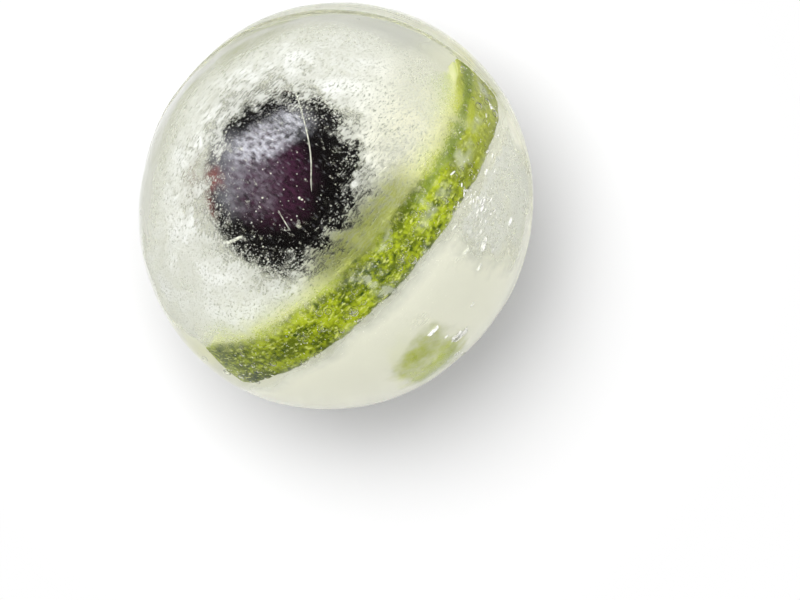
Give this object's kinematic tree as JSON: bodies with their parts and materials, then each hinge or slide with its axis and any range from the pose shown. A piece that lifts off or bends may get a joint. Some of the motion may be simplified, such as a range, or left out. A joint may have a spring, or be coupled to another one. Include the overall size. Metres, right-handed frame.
{
  "type": "ice ball",
  "caption": "Round ball of clear ice for a drink, with a cloudy core, a dark grape, a curved strip of lime and a small chip of lime frozen inside, a mould seam round it and a melted flat to rest on.",
  "frame": {"origin": "middle of the melted flat that the ball rests on", "axes": "+Z up through the ball's middle; seen from above, +X is to the right and +Y is up, so the long way of the ball and the lime strip both run from lower left to upper right"},
  "size_m": [0.0616, 0.0628, 0.0583],
  "materials": {
    "ice": "clear moulded ice, smooth and wet at the rim, frosty in the middle",
    "cloudy_ice": "ice clouded white by fine specks of air",
    "grape_skin": "nearly black purple grape skin with a pale bloom",
    "grape_flesh": "moist reddish grape flesh",
    "grape_pips": "woody brown pips",
    "lime_rind": "waxy yellow-green rind with fine oil glands",
    "lime_pith": "soft pale pith",
    "lime_membrane": "thin pale walls between the segments",
    "lime_flesh": "wet translucent juice sacs"
  },
  "bodies": {
    "root": {"ice_ball": "ice", "cloudy_core": "cloudy_ice", "grape_skin": "grape_skin", "grape_flesh": "grape_flesh", "grape_pips": "grape_pips", "lime_rind": "lime_rind", "lime_pith": "lime_pith", "lime_membranes": "lime_membrane", "lime_segment_1": "lime_flesh", "lime_segment_2": "lime_flesh", "lime_segment_3": "lime_flesh", "lime_segment_4": "lime_flesh", "lime_segment_5": "lime_flesh", "chip_rind": "lime_rind", "chip_pith": "lime_pith", "chip_flesh": "lime_flesh"}
  },
  "joints": []
}
